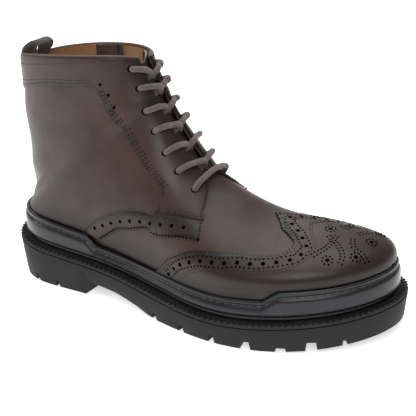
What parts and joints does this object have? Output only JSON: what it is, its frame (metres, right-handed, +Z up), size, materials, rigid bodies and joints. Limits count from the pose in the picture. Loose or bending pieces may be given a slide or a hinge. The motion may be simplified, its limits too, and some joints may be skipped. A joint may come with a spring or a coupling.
{
  "type": "brogue boot",
  "caption": "Lace-up ankle boot with wing-tip brogue overlays, inside zip, back pull loop, stepped rubber rand and lugged sole; right foot.",
  "frame": {"origin": "on the floor, in the middle of the heel's flat face", "axes": "+X to the toe, +Y to the inner side of the foot, +Z up"},
  "size_m": [0.305, 0.1162, 0.1764],
  "materials": {
    "sole_rubber": "matte moulded rubber",
    "welt_rubber": "dull grey-brown rubber",
    "rand_rubber": "semi-gloss black rubber",
    "upper_leather": "burnished brown leather, soft sheen",
    "cap_leather": "dark burnished brown leather",
    "loop_leather": "brown leather strip with woven tape face",
    "lining_leather": "tan lining leather, matte",
    "lace_cloth": "round waxed cord, grey-brown",
    "zip_cloth": "woven zip tape",
    "zip_metal": "dark antique metal"
  },
  "bodies": {
    "boot": {"outsole": "sole_rubber", "welt": "welt_rubber", "rand": "rand_rubber", "insole": "lining_leather", "upper": "upper_leather", "tongue": "upper_leather", "toe_cap": "cap_leather", "facing_outer": "upper_leather", "facing_inner": "upper_leather", "collar_band_inner": "upper_leather", "side_band_outer": "cap_leather", "side_band_inner": "cap_leather", "laces": "lace_cloth", "pull_loop": "loop_leather", "zip_tape": "zip_cloth", "zip_flap": "lining_leather", "zip_teeth": "zip_metal", "zip_slider": "zip_metal"},
    "pull": {"zip_pull": "zip_metal"}
  },
  "joints": [
    {"name": "zip_pull_hinge", "type": "hinge", "parent": "boot", "child": "pull", "pos_m": [0.02755, 0.03515, 0.15325], "axis": [1, 0, 0], "range_deg": [0, 165]}
  ]
}
